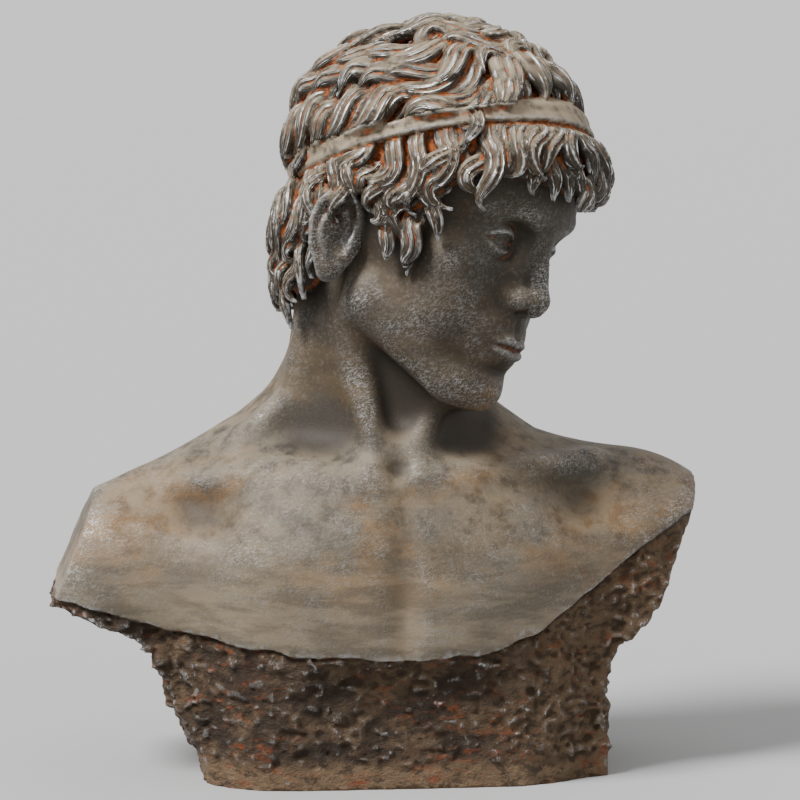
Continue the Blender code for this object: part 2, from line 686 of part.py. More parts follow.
def material():
    finish = bpy.data.materials.new("aged iron paint")
    finish.use_nodes = True
    shader = finish.node_tree.nodes["Principled BSDF"]
    shader.inputs["Base Color"].default_value = BODY_COLOUR
    shader.inputs["Roughness"].default_value = BODY_ROUGHNESS
    shader.inputs["Metallic"].default_value = BODY_METALLIC
    return finish


def main():
    for obj in list(bpy.data.objects):
        bpy.data.objects.remove(obj)
    mesh = surface_mesh("bust")
    keep_main_body(mesh)
    bust = bpy.data.objects.new("bust", mesh)
    bpy.context.scene.collection.objects.link(bust)
    thin(bust)
    cut_flat_below(bust.data)
    bust.data.shade_smooth()
    bust.data.materials.append(material())


main()
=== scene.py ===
"""The looks of the bust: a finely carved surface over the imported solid, and its aged-iron finish.

The surface is described as part.py describes the solid, as one signed distance field in units that
are 1 mm at the real size, with its level 0 at UNDERSIDE. Here it is sampled more finely. How hollow
or proud each spot is, which region it lies in and how the hair runs there are kept on the mesh, and
the finish is painted by them: silver brushed over what stands proud, rust in what lies deep.

World axes: +X to the viewer's right, -Y towards the viewer, +Z up, origin under the block.
Head axes: a to the figure's own right, b forwards out of the face, c up, from between the ears.
"""

import math

import bmesh
import bpy
import numpy as np
import openvdb
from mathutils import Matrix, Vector

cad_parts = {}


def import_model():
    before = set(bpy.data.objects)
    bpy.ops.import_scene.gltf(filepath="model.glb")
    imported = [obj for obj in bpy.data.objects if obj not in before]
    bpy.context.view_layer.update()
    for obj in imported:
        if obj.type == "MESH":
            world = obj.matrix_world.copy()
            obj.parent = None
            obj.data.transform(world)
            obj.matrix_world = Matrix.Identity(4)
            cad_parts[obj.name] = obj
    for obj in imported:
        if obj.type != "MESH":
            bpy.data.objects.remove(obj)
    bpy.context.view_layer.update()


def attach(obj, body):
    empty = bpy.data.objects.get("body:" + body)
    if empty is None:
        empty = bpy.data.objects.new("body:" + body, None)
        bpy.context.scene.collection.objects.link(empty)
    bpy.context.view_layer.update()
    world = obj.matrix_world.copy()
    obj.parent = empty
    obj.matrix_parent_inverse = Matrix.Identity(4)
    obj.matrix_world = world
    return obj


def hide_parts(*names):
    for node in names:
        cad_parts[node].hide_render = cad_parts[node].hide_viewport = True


HEIGHT = 0.495  # metres, underside to crown
UNITS = 495.0  # the same height in figure units
UNDERSIDE = -7.0  # the level in the layout where the block is cut off flat
TRIANGLES = 195000  # of the finished surface
FINE_STEP = 1.4  # figure units between samples of the field
HALF_WIDTH = 240.0  # of the space that is sampled
HALF_DEPTH = 145.0
LATTICE = 32  # points along each side of the noise's lattice, which then repeats
CORNERS = np.argwhere(np.ones((2, 2, 2), bool))  # of a cell, as steps along its sides

# The head's pose and size
HEAD_PLACE = (10.0, -10.0, 347.0)
HEAD_YAW = 50.0
HEAD_NOD = 17.0
HEAD_TILT = 14.0
HEAD_SCALE = 0.95

# The eyes, in the head's axes
EYE_PLACE = (31.0, 67.5, 14.5)
EYE_RADIUS = 15.0

# The rough block
BLOCK_HALF_DEPTH = 80.0
BLOCK_SQUARENESS = 5.0
ROUGHNESS = 1.6
HEWN_OCTAVES = ((7.0, 0.8), (4.2, 0.9), (2.7, 0.8))  # size and share of its finer roughness

# The planes that end the upper arms: how far out each lies, at which level, and its slope
LEFT_CUT = (228.0, 115.0, -0.412)
RIGHT_CUT = (196.0, 189.0, 0.37)
UPRIGHT_BELOW = 82.0  # the level under which the right-hand plane stands upright

# The hair
HAIR_CENTRE = (0.0, -3.0, 46.0)
HAIR_RADII = (87.0, 110.5, 93.0)
HAIR_MEAN_RADIUS = 97.0
QUARTER = HAIR_MEAN_RADIUS * math.pi / 2  # from the crown down to the widest level
BAND_HALF_WIDTH = 6.5
BAND_LEVEL = 53.0
BAND_SLOPE = 58.0
BAND_CHANNEL_DROP = 2.5  # how far the channel under the band lies below it, as a dark line
BAND_THICKNESS = 3.4  # to each side of the hair's surface
BAND_RIM = 0.9  # how far the band's raised edges stand over it
LOCK_DROP = 46.0
LOCK_HALF_WIDTH = 7.6
LOCK_WAVE = 37.0  # degrees that a lock swings from its course
LOCK_LEAN = 0.35
UPPER_LAYERS = ((11.5, 22, 0.85, 1.5), (19, 30, 1.25, 5.5))  # spacing, pitch of rows, width, lift
# How many locks a row has, how far below the band it starts and how long they are
LOWER_ROWS = ((43, 2, 1.35), (41, 26, 1.0), (37, 48, 0.9), (37, 70, 0.9), (33, 92, 0.9))
FAR_TEMPLE_TRIM = 34.0  # how much shorter the hair is over the far temple
# Angle, depth under the band, drop, phase and lift of the curls round the near ear
TEMPLE_CURLS = (
    (66, 62, 50, 0.3, 4),
    (72, 40, 40, 0.8, 4),
    (79, 34, 46, 0.25, 5),
    (85, 20, 44, 0.7, 7),
    (93, 12, 40, 0.2, 10),
    (99, 14, 48, 0.6, 11),
    (105, 16, 54, 0.1, 11),
    (108, 44, 50, 0.5, 10),
    (113, 58, 48, 0.3, 8),
    (118, 66, 46, 0.8, 7),
    (124, 78, 44, 0.2, 6),
)
STRAND_DEPTH = 2.0
STRAND_GROOVES = (-0.4, 0.24)  # places across a lock, as shares of its half width
STRAND_GROOVE_WIDTH = 0.19
CROSSING_LOCKS = ((68, -20), (128, 8), (-60, -12), (-140, 10))  # angle and heading
LOCK_SEED = 11
HEAD_REACH = 190.0  # from the head's middle, past all of its hair

# How far round a spot its relief is judged, in figure units
RELIEF_REACHES = {"fine": 1.6, "middle": 4.0, "broad": 11.0, "wide": 26.0}

# Colours, as the paint's linear red, green and blue
GREY = (0.050, 0.043, 0.032, 1)
BROWN = (0.072, 0.050, 0.028, 1)
OCHRE = (0.138, 0.074, 0.026, 1)
DARK = (0.024, 0.019, 0.014, 1)
PALE = (0.120, 0.105, 0.083, 1)
# Dust colour; it also serves as painted light low on the chest and on faces that look up
DUST_AND_PAINTED_LIGHT = (0.250, 0.200, 0.138, 1)
BLOCK_DARK = (0.034, 0.022, 0.014, 1)
BLOCK_BROWN = (0.148, 0.096, 0.054, 1)
RED_RUST = (0.19, 0.050, 0.015, 1)
RUST = (0.31, 0.085, 0.021, 1)
DEEP_RUST = (0.15, 0.042, 0.013, 1)
SILVER = (0.36, 0.365, 0.365, 1)
BRIGHT_SILVER = (0.66, 0.67, 0.67, 1)
FOOT_STRIP = 0.016  # metres of browner foot under the rough block

# How the finish takes the light
PAINT_ROUGHNESS = 0.62
SILVER_ROUGHNESS = 0.36
RUST_ROUGHNESS = 0.85
PAINT_METAL = 0.10
SILVER_METAL = 0.6
SPECULAR = 0.22
GRAIN_BUMP = 0.2  # millimetres
STRAND_BUMP = 5.0
HEWN_BUMP = 9.0

# The studio
FLOOR_COLOUR = (0.314, 0.314, 0.313, 1)
FLOOR_ROUGHNESS = 0.8
FLOOR_REACH = 12.0  # metres
LOOK_AT = (-0.0026, 0.0, 0.2427)
CAMERA_AZIMUTH = -6.0
CAMERA_ELEVATION = 6.5
CAMERA_DISTANCE = 2.4
CAMERA_FIELD = 0.5238  # metres across the picture at that distance
SKY_STRENGTH = 0.95
LAMP_DISTANCE = 2.0
SUNS = (  # name, azimuth, elevation, softness in degrees, strength
    ("key", -63, 50, 20, 7.6),
    ("fill", 60, 25, 60, 0.3),
)


def vec(*values):
    return np.array(values, np.float32)


def smooth_curve(x, knots, values):
    """A smooth curve through the knots, level outside them."""
    knots, values = np.array(knots, float), np.array(values, float)
    slopes = np.gradient(values, knots)
    slopes[0] = slopes[-1] = 0.0
    x = np.clip(x, knots[0], knots[-1])
    i = np.clip(np.searchsorted(knots, x) - 1, 0, len(knots) - 2)
    gap = knots[i + 1] - knots[i]
    t = (x - knots[i]) / gap
    low = values[i] + t * gap * slopes[i]
    high = values[i + 1] - (1 - t) * gap * slopes[i + 1]
    ease = t * t * (3 - 2 * t)
    return (low + (high - low) * ease).astype(np.float32)


def ellipsoid(p, centre, radii):
    q = (p - vec(*centre)) / vec(*radii)
    size = np.linalg.norm(q, axis=1)
    steep = np.linalg.norm(q / vec(*radii), axis=1)
    return size * (size - 1.0) / np.maximum(steep, 1e-6)


def tapered(p, start, end, start_radius, end_radius):
    start, end = vec(*start), vec(*end)
    axis = end - start
    t = np.clip((p - start) @ axis / (axis @ axis), 0.0, 1.0)
    gap = np.linalg.norm(p - start - t[:, None] * axis, axis=1)
    return gap - (start_radius + (end_radius - start_radius) * t)


def chain(p, *stations):
    """A run of tapered rods through stations of (x, y, z, radius)."""
    runs = [tapered(p, s[:3], e[:3], s[3], e[3]) for s, e in zip(stations, stations[1:])]
    return np.minimum.reduce(runs)


def swell(p, centre, radii):
    """A soft mound's share of its height: 1 at the centre, fading out at about twice the radii."""
    return np.exp(-(((p - vec(*centre)) / vec(*radii)) ** 2).sum(1))


def join(first, second, soft):
    h = np.maximum(soft - np.abs(first - second), 0.0) / soft
    return np.minimum(first, second) - h * h * soft * 0.25


def carve(body, tool, soft):
    return -join(-body, tool, soft)


def trim(body, plane, soft):
    return -join(-body, -plane, soft)


def noise(p, size, seed):
    """Smooth noise from -1 to 1 whose lumps are about size across."""
    lattice = np.random.default_rng(seed).uniform(-1, 1, (LATTICE,) * 3).astype(np.float32)
    q = p / size + 100.0
    cell = np.floor(q).astype(int)
    t = (q - cell).astype(np.float32)
    t = t * t * (3 - 2 * t)
    total = np.zeros(len(p), np.float32)
    for corner in CORNERS:
        weight = np.abs(1 - corner - t).prod(1)
        at = (cell + corner) % LATTICE
        total += weight * lattice[at[:, 0], at[:, 1], at[:, 2]]
    return total


# Torso, neck and block


def torso(p):
    form = ellipsoid(p, (-12, 6, 113), (154, 100, 120))
    for x, z in ((-184, 123), (156, 138)):
        form = join(form, ellipsoid(p, (x, 12, z), (62, 58, 58)), 42)
    for slope in (
        ((-16, 34, 243, 46), (-84, 28, 194, 38), (-150, 22, 159, 34)),
        ((4, 34, 220, 46), (70, 28, 174, 38), (136, 24, 157, 36)),
    ):
        form = join(form, chain(p, *slope), 30)
    for x in (-86, 66):
        form = join(form, ellipsoid(p, (x, 64, 145), (62, 38, 66)), 26)
        form -= 9 * swell(p, (x, -90, 132), (50, 60, 36))
    form = join(form, neck(p), 18)
    for side in (
        ((-26, -60, 190, 6), (-60, -52, 192, 5), (-100, -36, 191, 5), (-150, -8, 183, 5)),
        ((2, -60, 190, 6), (36, -53, 193, 5), (76, -37, 195, 5), (124, -8, 194, 5)),
    ):
        form = join(form, chain(p, *side), 18)
    form += 5 * swell(p, (-10, -100, 118), (11, 60, 62))
    form += 6 * swell(p, (-8, 104, 165), (12, 60, 80))
    for x, z in ((-134, 166), (114, 173), (-62, 213), (44, 214)):
        form += 5 * swell(p, (x, -60, z), (26, 60, 15))
    return carve(form, ellipsoid(p, (-11, -73, 203), (9, 10, 9)), 9)


def neck(p):
    form = chain(p, (-14, 26, 183, 68), (-17, 22, 245, 60), (-14, 14, 291, 56), (2, 4, 331, 54))
    form = join(form, chain(p, (-38, -26, 312, 12), (-34, -36, 262, 9), (-22, -55, 199, 6)), 18)
    form = join(form, chain(p, (34, -26, 296, 12), (22, -37, 250, 9), (-2, -55, 199, 6)), 18)
    form = join(form, chain(p, (-58, -2, 292, 9), (-72, -8, 241, 8), (-108, -8, 207, 7)), 18)
    return join(form, ellipsoid(p, (4, -34, 253), (12, 12, 18)), 18)


def broken_edge(p):
    """The height of the ragged edge where the chest is broken off."""
    knots = (-240, -226, -155, -110, -60, 0, 30, 70, 100, 127, 155, 185, 220)
    rises = (112, 110, 92, 86, 81, 80, 81, 90, 107, 125, 145, 161, 180)
    rise = smooth_curve(p[:, 0], knots, rises) + 0.04 * (p[:, 1] + 80)
    return rise + 2.5 * noise(p * vec(1, 1, 0.2), 13, 3)


def block(p, edge, outline):
    """The rough block, narrower than the chest and flaring into its broken edge."""
    x, y, z = p.T
    levels = (-7, 9, 23, 50, 70, 80, 87, 92, 97, 103, 109)
    left = smooth_curve(z, levels, (134, 138, 144, 156, 164, 172, 181, 192, 209, 222, 230))
    levels = (-7, 25, 51, 60, 70, 80, 90, 103, 125, 145, 165, 190)
    right = smooth_curve(z, levels, (131, 130, 129, 130, 134, 142, 153, 167, 178, 184, 190, 200))
    reach = np.where(x < 0, left, right)
    depth = BLOCK_HALF_DEPTH + 14 * np.exp(-np.maximum(edge - z, 0) / 9)
    n = BLOCK_SQUARENESS
    size = (np.abs(x / reach) ** n + np.abs((y - 4) / depth) ** n) ** (1 / n)
    column = (size - 1) * np.minimum(reach, depth)
    return np.maximum(np.maximum(column, outline + 3), z - edge - 4)


def slanting_cut(outward, z, reach, level, slope):
    """Above 0 outside a plane that lies reach outwards at that level and leans out by slope."""
    return ((outward - reach) - (z - level) * slope) / math.hypot(1, slope)


def arm_cuts(p):
    """The planes that end the upper arms. Below the right-hand stump its plane is upright."""
    x, _, z = p.T
    left = slanting_cut(-x, z, *LEFT_CUT)
    right = slanting_cut(x, np.maximum(z, UPRIGHT_BELOW), *RIGHT_CUT)
    return np.maximum(left, right)


def body(p):
    edge = broken_edge(p)
    form = np.full(len(p), 99.0, np.float32)
    above = p[:, 2] > edge - 30
    form[above] = np.maximum(torso(p[above]), (edge - p[:, 2])[above])
    low = p[:, 2] < edge + 8
    lifted = np.column_stack([p[low, 0], p[low, 1], np.maximum(p[low, 2], edge[low])])
    rough = block(p[low], edge[low], torso(lifted))
    bite = ROUGHNESS * smooth_curve(p[low, 2], (4, 16), (0.35, 1))
    shifted = p[low] + 3 * np.column_stack([noise(p[low], 9, seed) for seed in (23, 24, 25)])
    hewn = 0.9 * noise(p[low], 13, 5)
    for size, depth in HEWN_OCTAVES:
        hewn += depth * noise(shifted * vec(0.75, 0.75, 1), size, 6)
    rough -= bite * hewn
    form[low] = np.minimum(form[low], rough)
    cut = arm_cuts(p)
    near = np.abs(cut) < 4
    cut[near] += 0.6 * noise(p[near], 8, 9)
    # Below the broken edge an arm's end is as rough as the block
    hewn_end = near & (p[:, 2] < edge)
    cut[hewn_end] += 0.9 * noise(p[hewn_end], 7, 6) + 0.9 * noise(p[hewn_end], 4.2, 6)
    return np.maximum(form, cut)


# Head


def turn(axis, degrees):
    c, s = math.cos(math.radians(degrees)), math.sin(math.radians(degrees))
    i, j = {"x": (1, 2), "y": (2, 0), "z": (0, 1)}[axis]
    matrix = np.eye(3)
    matrix[i, i] = matrix[j, j] = c
    matrix[i, j], matrix[j, i] = -s, s
    return matrix


def head_axes():
    """Columns are the head's axes a, b and c in the world."""
    level = np.array([[-1.0, 0, 0], [0, -1.0, 0], [0, 0, 1.0]]).T
    return turn("z", HEAD_YAW) @ level @ turn("x", -HEAD_NOD) @ turn("y", -HEAD_TILT)


def into_head(p):
    return ((p - vec(*HEAD_PLACE)) @ head_axes().astype(np.float32)) / HEAD_SCALE


def face_mass(q):
    """The face in level sections, from under the chin to the forehead."""
    a, b, c = q.T
    levels = (-100, -84, -66, -50, -28, -5, 15, 38, 60, 85)
    width = smooth_curve(c, levels, (34, 43, 51, 57, 62, 66, 66, 65, 66, 64))
    front = smooth_curve(c, levels, (84, 89, 89, 91, 91, 88, 87, 91, 91, 84))
    back = smooth_curve(c, levels, (14, 14, 14, 16, 22, 30, 40, 50, 60, 60))
    half = np.where(b > 0, front, back)
    size = (np.abs(a / width) ** 2.2 + np.abs(b / half) ** 2.2) ** (1 / 2.2)
    lengthwise = b * b / (a * a + b * b + 1e-3)
    form = (size - 1) * (width + (np.minimum(width, half) - width) * lengthwise)
    under = (-97 + (85 - b) * 0.32 - c) / math.hypot(1, 0.32)
    return trim(trim(form, under, 14), c - 66, 20)


def eye(m):
    """Ball and lids, on the side where a is positive."""
    d = m - vec(*EYE_PLACE)
    gap = np.linalg.norm(d, axis=1)
    across = np.degrees(np.arctan2(d[:, 0], d[:, 1]))
    rise = np.degrees(np.arcsin(np.clip(d[:, 2] / np.maximum(gap, 1e-3), -1, 1)))
    arch = 1 - ((across - 4) / 60) ** 2
    upper = np.maximum(gap - EYE_RADIUS - 3.0, (22 * arch - rise) * 0.25)
    upper = np.maximum(upper, (rise - 22 * arch - 24) * 0.25)
    lower = np.maximum(gap - EYE_RADIUS - 2.4, (rise + 17 * arch) * 0.25)
    lower = np.maximum(lower, (-17 * arch - 30 - rise) * 0.25)
    pupil = ellipsoid(m, vec(*EYE_PLACE) + vec(-0.5, EYE_RADIUS, 1), (3, 2, 3))
    ball = carve(gap - EYE_RADIUS, pupil, 1)
    return np.minimum(ball, join(upper, lower, 0.8))


def nose(m):
    form = chain(m, (0, 86, 40, 8), (0, 87, 27, 7.5), (0, 96, 6, 7.5), (0, 103, -13, 8))
    form = join(form, ellipsoid(m, (0, 102, -14), (9.5, 10, 7.5)), 6)
    form = join(form, chain(m, (7, 82, 16, 8), (11, 88, -14, 8)), 8)
    form = join(form, ellipsoid(m, (12, 94, -18), (6, 10, 7)), 7)
    form = join(form, ellipsoid(m, (0, 97, -21), (5, 13, 6)), 5)
    form += 1.4 * swell(m, (17, 92, -12), (3, 9, 5))
    return carve(form, ellipsoid(m, (6.5, 98, -25), (3, 6.5, 4)), 2)


def mouth(m, form):
    """Lips, the groove over them and the dip under them."""
    form = join(form, ellipsoid(m, (0, 82, -50), (30, 16, 21)), 15)
    a, b, c = m.T
    share = np.clip(a / 23, 0, 1)
    taper = np.maximum(1 - share**2, 0)
    parting = -51 + 1.3 * np.sin(math.pi * share**0.7)
    upper = (c - parting) / (8.6 * taper**0.7 + 0.5 - 1.6 * np.exp(-((a / 3.2) ** 2)))
    lower = (parting - c) / (9.6 * taper**0.6 + 0.5)
    lips = 3.2 * np.clip(4 * upper * (1 - upper), 0, 1) ** 0.7
    lips += 4.0 * np.clip(4 * lower * (1 - lower), 0, 1) ** 0.7
    lips *= taper**0.7
    lips -= 2.2 * np.exp(-(((c - parting) / 1.5) ** 2)) * (1 - share**4)
    lips -= 1.3 * np.exp(-((a / 3) ** 2) - ((c + 36) / 5) ** 2)
    lips -= 3.0 * np.exp(-((a / 17) ** 2) - ((c + 67.5) / 5) ** 2)
    lips -= 1.0 * np.exp(-(((a - 27) / 5) ** 2) - ((c + 51) / 5) ** 2)
    return form - lips * (b > 60)


def ear(m):
    q = (m - vec(73, -9, -20)) * vec(1, 1.35, 1)
    lean = math.radians(10)
    b = q[:, 1] * math.cos(lean) + q[:, 2] * math.sin(lean)
    c = q[:, 2] * math.cos(lean) - q[:, 1] * math.sin(lean)
    r = np.column_stack([q[:, 0] + 0.5 * b, b, c])
    form = ellipsoid(r, (3, -4, 1), (5, 18, 30))
    form = carve(form, ellipsoid(r, (9, 1, -3), (9.5, 8.5, 12)), 2)
    form = carve(form, ellipsoid(r, (9, -3, 13), (8, 10, 9)), 2)
    rim = ((4, 9, -2, 3), (6, 12, 10, 3.2), (7, 8, 22, 3.6), (7, -2, 28, 3.8), (7, -12, 27, 3.8))
    rim += ((7, -20, 18, 3.8), (7, -22, 5, 3.6), (6, -19, -10, 3.4), (5, -12, -21, 3.2))
    form = join(form, chain(r, *rim), 2)
    fold = ((7, -6, 18, 2.6), (8, -13, 8, 3), (8, -13, -5, 3), (7, -6, -15, 3))
    form = join(form, chain(r, *fold), 2.5)
    form = join(form, ellipsoid(r, (4, -4, -25), (5, 9, 9)), 4)
    return join(form, ellipsoid(r, (4, 9, -6), (4.5, 4, 6)), 3)


def head(q):
    m = q.copy()
    m[:, 0] = np.abs(m[:, 0])
    form = ellipsoid(q, (0, -8, 45), (75, 98, 86))
    form = join(form, face_mass(q), 24)
    form = join(form, ellipsoid(m, (44, 56, -9), (18, 16, 15)), 20)
    form = join(form, ellipsoid(m, (37, 56, -38), (20, 22, 24)), 20)
    form = join(form, chain(m, (51, 14, -54, 12), (22, 73, -84, 12)), 20)
    form = join(form, ellipsoid(m, (0, 80, -83), (22, 17, 13)), 14)
    form = join(form, chain(m, (7, 90, 37, 5), (28, 88.5, 41, 5), (51, 69, 34, 4.5)), 6)
    form = carve(form, ellipsoid(m, (31, 92, 16), (22, 18, 16.5)), 3)
    form = join(form, eye(m), 1.0)
    form = join(form, nose(m), 7)
    form = mouth(m, form)
    return join(form, ear(m), 4)


# Hair


def hair_point(round_angle, fall):
    """A point on the hair. fall is 0 at the crown, 1 at the widest level, and more below it."""
    a0, b0, c0 = HAIR_CENTRE
    ra, rb, rc = HAIR_RADII
    fall = np.asarray(fall, float)
    over = np.minimum(fall, 1) * math.pi / 2
    below = np.maximum(fall - 1, 0)
    spread = np.sin(over) * (1 - 0.42 * below**1.4)
    round_angle = np.radians(round_angle)
    a = a0 + ra * spread * np.sin(round_angle)
    b = b0 + rb * spread * np.cos(round_angle)
    c = c0 + rc * np.cos(over) - below * rc * math.pi / 2
    return np.stack([a, b, c], -1)


def fall_of(c):
    lift = (np.asarray(c, float) - HAIR_CENTRE[2]) / HAIR_RADII[2]
    above = np.arccos(np.clip(lift, 0, 1)) * 2 / math.pi
    return np.where(lift > 0, above, 1 - lift * 2 / math.pi)


def angle_of(q):
    """The angle round the head, 0 over the face and 90 over the figure's right ear."""
    return np.degrees(np.arctan2(q[:, 0], q[:, 1] - HAIR_CENTRE[1]))


def band_height(round_angle):
    return BAND_LEVEL + BAND_SLOPE * np.cos(np.radians(round_angle))


def hairline(round_angle):
    angles = (0, 30, 50, 62, 72, 82, 90, 100, 110, 122, 140, 160, 180)
    heights = (60, 57, 44, 8, -18, 4, 22, 10, -16, -46, -70, -76, -78)
    return smooth_curve(np.abs(round_angle), angles, heights)


def hair_cap(q):
    """The mass of hair under the locks."""
    ra, rb, rc = HAIR_RADII
    form = ellipsoid(q, HAIR_CENTRE, (ra - 4, rb - 4, rc - 4))
    form = join(form, ellipsoid(q, (0, -54, -14), (64, 44, 62)), 20)
    return trim(form, (hairline(angle_of(q)) - q[:, 2]) * 0.7, 5)


def hair_band(q, locks):
    """A flat band with a raised rim along each edge, laid in a channel cut through the locks."""
    proud = ellipsoid(q, HAIR_CENTRE, HAIR_RADII)
    above = q[:, 2] - band_height(angle_of(q))
    channel = np.maximum(np.abs(above + BAND_CHANNEL_DROP) - BAND_HALF_WIDTH, 2 - proud)
    form = carve(locks, channel, 1.5)
    across = np.abs(above)
    rim = BAND_RIM * np.exp(-(((across - BAND_HALF_WIDTH + 2.5) / 2.2) ** 2))
    band = trim(across - BAND_HALF_WIDTH, np.abs(proud) - BAND_THICKNESS - rim, 2.0)
    return np.minimum(form, band)


def lock_line(angle, fall, drop, heading, phase, hook, steps=17):
    """The middle line of a lock that falls over the hair, with outward and sideways directions."""
    t = np.linspace(0, 1, steps)
    course = heading + LOCK_WAVE * np.sin(2 * math.pi * (t + phase))
    stride = drop / np.cos(np.radians(course)).sum()
    course = np.radians(course + hook * t**4)[:-1]
    aside = np.append(0, np.cumsum(np.sin(course))) * stride
    falls = fall + np.append(0, np.cumsum(np.cos(course))) * stride / QUARTER
    spread = np.maximum(np.sin(np.minimum(falls, 1) * math.pi / 2), 0.2)
    angles = angle + np.degrees(aside / (HAIR_MEAN_RADIUS * spread))
    line = hair_point(angles, falls)
    round_step = hair_point(angles + 1, falls) - line
    down_step = hair_point(angles, falls + 0.01) - line
    out = unit(np.cross(round_step, down_step))
    out *= np.sign(((line - np.array(HAIR_CENTRE)) * out).sum(1))[:, None]
    return t, line, out


def unit(vectors):
    return vectors / np.linalg.norm(vectors, axis=1)[:, None]


def nearest_place(p, line):
    """How far along the line, counted in its points, each p is nearest to it."""
    best = np.full(len(p), np.inf, np.float32)
    place = np.zeros(len(p), np.float32)
    for i, (start, end) in enumerate(zip(line, line[1:])):
        step = end - start
        share = np.clip((p - start) @ step / (step @ step), 0, 1)
        gap = ((p - start - share[:, None] * step) ** 2).sum(1)
        closer = gap < best
        best[closer] = gap[closer]
        place[closer] = i + share[closer]
    return place


def add_lock(q, form, strand, place, drop, half_width, lift, course, root=0.4, sink=4.0):
    """Lays one lock on the hair. It rises out of the hair from its root and ends in a sharp tip.

    strand takes in how far across and along its lock each spot lies, in shares of the half width.
    q is sorted by its last column, so that only the points at the lock's level are looked at.
    """
    t, line, out = lock_line(*place, drop, *course)
    climb = smooth_curve(t, (0, 0.4, 0.75, 1), (0, 0.8, 1, 0.7))
    line = (line + out * (lift * climb - sink * (1 - climb) - 1)[:, None]).astype(np.float32)
    shares = (root, 0.4 + 0.6 * root, 1, 0.65, 0.18)
    half = half_width * smooth_curve(t, (0, 0.15, 0.45, 0.78, 1), shares)
    along = unit(np.gradient(line, axis=0))
    side = unit(np.cross(out, along))
    reach = half_width + 5
    low, high = line.min(0) - reach, line.max(0) + reach
    first, last = np.searchsorted(q[:, 2], (low[2], high[2]))
    level = q[first:last, :2]
    near = first + np.flatnonzero(((level > low[:2]) & (level < high[:2])).all(1))
    if len(near) == 0:
        return form
    p = q[near]
    at = nearest_place(p, line)
    before = np.minimum(at.astype(int), len(line) - 2)
    share = at - before
    frame = np.column_stack([line, out, side, along, half]).astype(np.float32)
    frame = frame[before] + (frame[before + 1] - frame[before]) * share[:, None]
    d = p - frame[:, :3]
    wide = frame[:, 12]
    thick = wide * 0.5 + 2.2
    rise = (d * frame[:, 3:6]).sum(1) / thick
    across = (d * frame[:, 6:9]).sum(1) / wide - LOCK_LEAN * np.clip(rise, 0, 1)
    beyond = (d * frame[:, 9:12]).sum(1) / wide
    size = np.sqrt(across**2 + rise**2 + beyond**2)
    off = [(across - groove) / STRAND_GROOVE_WIDTH for groove in STRAND_GROOVES]
    grooves = sum(np.exp(-(gap**2)) for gap in off)
    grooves *= STRAND_DEPTH * np.clip(wide / half_width * 1.4 - 0.4, 0, 1)
    lock = (size - 1) * np.minimum(wide, thick) * 0.9 + grooves
    over = lock < form[near]
    strand[near[over], 2] = 0
    strand[near[over], 0] = across[over]
    strand[near[over], 1] = at[over] * np.linalg.norm(line[1] - line[0]) / half_width
    form[near] = join(form[near], lock.astype(np.float32), 0.6)
    return form


def sweep(angle):
    """How far the locks over the band lean back from straight down, in degrees."""
    size = smooth_curve(abs(angle), (0, 15, 40, 90, 140, 180), (-6, 10, 36, 30, 14, 0))
    return float(size) * np.sign(angle)


def phase_at(angle, distance):
    """Where a lock is in its wave, so that neighbours swing together."""
    return 0.013 * distance + 0.2 * math.sin(math.radians(3 * angle + 1.3 * distance))


def row_of_angles(random, distance, spacing, shift):
    """Angles round the head for one row of locks, spacing apart at that distance from the crown."""
    level = min(distance / HAIR_MEAN_RADIUS, math.pi / 2)
    count = round(2 * math.pi * HAIR_MEAN_RADIUS * math.sin(level) / spacing)
    for i in range(count):
        yield (360 * (i + shift) / count + random.uniform(-3, 3)) % 360 - 180


def upper_locks(random):
    """A close layer and then a bolder, looser one, in rows that rise from the band to the crown."""
    lowest = float(fall_of(BAND_LEVEL)) * QUARTER - 18
    for spacing, pitch, width, lift in UPPER_LAYERS:
        for row in range(8):
            distance = max(lowest - row * pitch, 20)
            for angle in row_of_angles(random, distance, spacing, 0.5 * (row % 2)):
                drop = LOCK_DROP * random.uniform(0.85, 1.25)
                lean = sweep(angle)
                carried = math.degrees(drop * math.tan(math.radians(lean)) / HAIR_MEAN_RADIUS)
                end = fall_of(band_height(angle + carried)) * QUARTER - BAND_HALF_WIDTH + 3
                end += random.uniform(-5, 3) * (row > 0) - row * pitch
                start = max(end - drop, 5)
                wobble = random.uniform(-0.08, 0.08)
                course = (lean, phase_at(angle, end) + wobble, random.uniform(-30, 30))
                half_width = LOCK_HALF_WIDTH * width * random.uniform(0.75, 1.2)
                if end - start > 14:
                    place = (angle, start / QUARTER)
                    yield place, end - start, half_width, lift * random.uniform(0.6, 1.3), course


def lower_locks(random):
    """Rows of hooked locks from under the band to the hairline, the first row the longest."""
    for row, (count, depth, length) in enumerate(LOWER_ROWS):
        for i in range(count):
            angle = (360 * (i + 0.5 * (row % 2)) / count + random.uniform(-2, 2)) % 360 - 180
            top = fall_of(band_height(angle)) * QUARTER + depth
            room = fall_of(hairline(np.array([angle]))[0]) * QUARTER + 10 - top
            room -= FAR_TEMPLE_TRIM * math.exp(-(((angle + 60) / 28) ** 2))
            phase = phase_at(1.7 * angle, top) + random.uniform(-0.15, 0.15)
            hook = random.choice((-1, 1)) * random.uniform(60, 130)
            half_width = LOCK_HALF_WIDTH * random.uniform(0.7, 1.05)
            lift = random.uniform(3, 8) + 2 * (row == 0)
            if room > (18 if row else 0):
                drop = min(LOCK_DROP * length * random.uniform(0.85, 1.15), max(room, 22))
                yield (angle, top / QUARTER), drop, half_width, lift, (0, phase, hook), 1.0, 1.5
    for angle, depth, drop, phase, lift in TEMPLE_CURLS:
        top = fall_of(band_height(angle)) * QUARTER + depth
        yield (angle, top / QUARTER), drop, LOCK_HALF_WIDTH * 0.7, lift, (6, phase, -80), 1.0, 1.5


